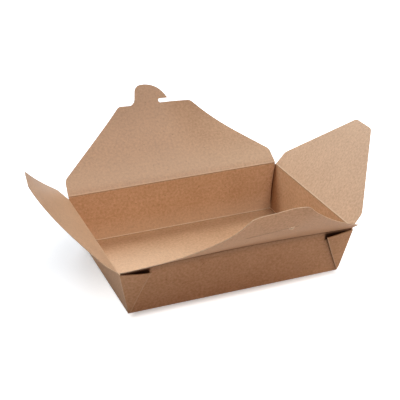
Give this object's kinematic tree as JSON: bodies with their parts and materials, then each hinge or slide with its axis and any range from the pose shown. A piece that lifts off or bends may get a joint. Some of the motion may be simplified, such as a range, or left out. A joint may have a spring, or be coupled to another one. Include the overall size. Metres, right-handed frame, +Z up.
{
  "type": "takeaway box",
  "caption": "Folded kraft board takeaway box: a shallow tray with sloped walls, and a creased flap on each side; a hooked tab on the back flap fits the slit in the front flap.",
  "frame": {"origin": "centre of the underside of the base, which rests on the table", "axes": "+X along the long side, to the right as seen from the front flap; +Y towards the back flap, which carries the tab; +Z up"},
  "size_m": [0.3218, 0.2988, 0.1224],
  "materials": {
    "board_outside": "matte",
    "board_inside": "matte"
  },
  "bodies": {
    "tray": {"tray": "board_outside"},
    "back_flap": {"back_flap": "board_inside"},
    "front_flap": {"front_flap": "board_inside"},
    "left_flap": {"left_flap": "board_inside"},
    "right_flap": {"right_flap": "board_inside"}
  },
  "joints": [
    {"name": "back_crease", "type": "hinge", "parent": "tray", "child": "back_flap", "pos_m": [0, 0.07927, 0.046], "axis": [1, 0, 0], "range_deg": [-55, 130]},
    {"name": "front_crease", "type": "hinge", "parent": "tray", "child": "front_flap", "pos_m": [0, -0.0791, 0.0452], "axis": [-1, 0, 0], "range_deg": [-45, 146]},
    {"name": "left_crease", "type": "hinge", "parent": "tray", "child": "left_flap", "pos_m": [-0.10744, 0, 0.0444], "axis": [0, 1, 0], "range_deg": [-52, 144]},
    {"name": "right_crease", "type": "hinge", "parent": "tray", "child": "right_flap", "pos_m": [0.10744, 0, 0.0444], "axis": [0, -1, 0], "range_deg": [-60, 144]}
  ]
}
